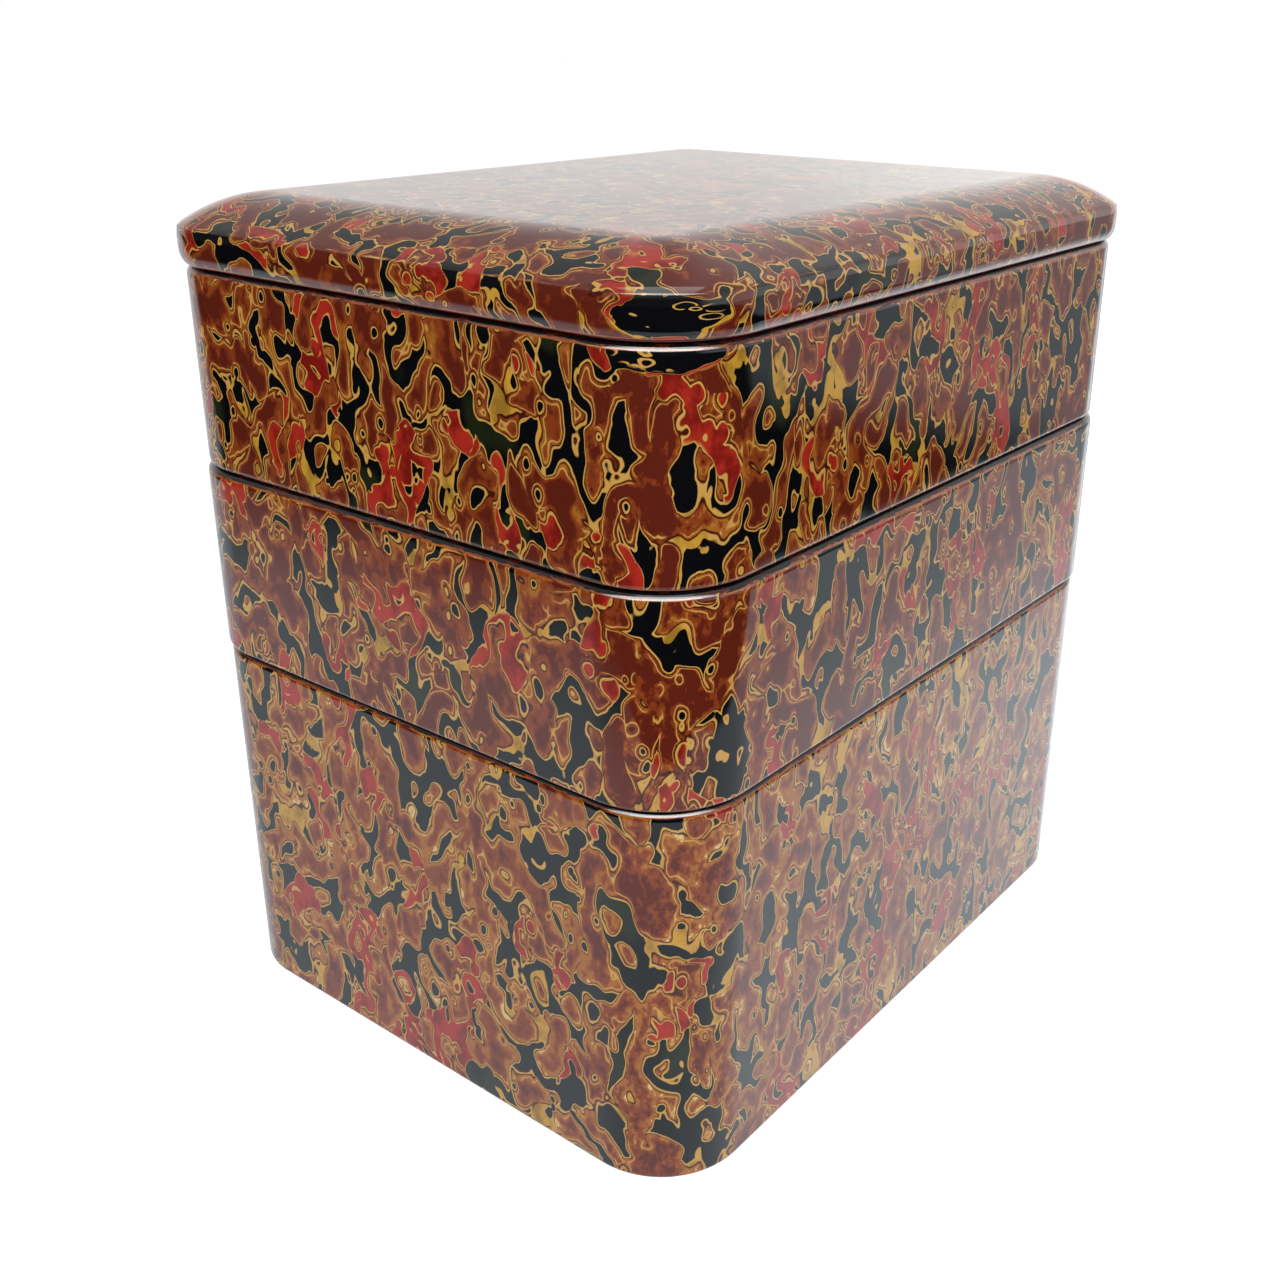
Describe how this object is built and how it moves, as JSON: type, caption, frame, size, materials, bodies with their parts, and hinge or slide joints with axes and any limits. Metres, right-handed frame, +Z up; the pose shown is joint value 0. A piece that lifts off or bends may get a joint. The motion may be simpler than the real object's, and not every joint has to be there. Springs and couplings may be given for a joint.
{
  "type": "stacking food box",
  "caption": "Tall stacking lacquer food box with round corners: shallow tiers over a deep bottom tier, closed by a crowned lid.",
  "frame": {"origin": "centre of the foot of the bottom tier, on the surface it stands on", "axes": "+Z up through the stack, +X across the narrow side, +Y along the long side"},
  "size_m": [0.1696, 0.2116, 0.2165],
  "materials": {
    "mottled_lacquer": "mirror-gloss lacquer over wood, mottled black, red-brown and gold, polished flat",
    "red_lacquer": "satin dark red lacquer over wood",
    "black_lacquer": "satin black-brown lacquer over wood"
  },
  "bodies": {
    "bottom_tier": {"bottom_front_board": "mottled_lacquer", "bottom_back_board": "mottled_lacquer", "bottom_left_board": "mottled_lacquer", "bottom_right_board": "mottled_lacquer", "bottom_corner_posts": "mottled_lacquer", "bottom_floor_panel": "red_lacquer"},
    "middle_tier": {"middle_front_board": "mottled_lacquer", "middle_back_board": "mottled_lacquer", "middle_left_board": "mottled_lacquer", "middle_right_board": "mottled_lacquer", "middle_corner_posts": "mottled_lacquer", "middle_floor_panel": "red_lacquer", "middle_nesting_slips": "black_lacquer"},
    "top_tier": {"top_front_board": "mottled_lacquer", "top_back_board": "mottled_lacquer", "top_left_board": "mottled_lacquer", "top_right_board": "mottled_lacquer", "top_corner_posts": "mottled_lacquer", "top_floor_panel": "red_lacquer", "top_nesting_slips": "black_lacquer"},
    "lid": {"lid_front_rim": "mottled_lacquer", "lid_back_rim": "mottled_lacquer", "lid_left_rim": "mottled_lacquer", "lid_right_rim": "mottled_lacquer", "lid_corner_blocks": "mottled_lacquer", "lid_crowned_panel": "mottled_lacquer", "lid_locating_slips": "black_lacquer"}
  },
  "joints": [
    {"name": "middle_tier_lift", "type": "slide", "parent": "bottom_tier", "child": "middle_tier", "axis": [0, 0, 1], "range_m": [0, 0.12]},
    {"name": "top_tier_lift", "type": "slide", "parent": "middle_tier", "child": "top_tier", "axis": [0, 0, 1], "range_m": [0, 0.12]},
    {"name": "lid_lift", "type": "slide", "parent": "top_tier", "child": "lid", "axis": [0, 0, 1], "range_m": [0, 0.12]}
  ]
}
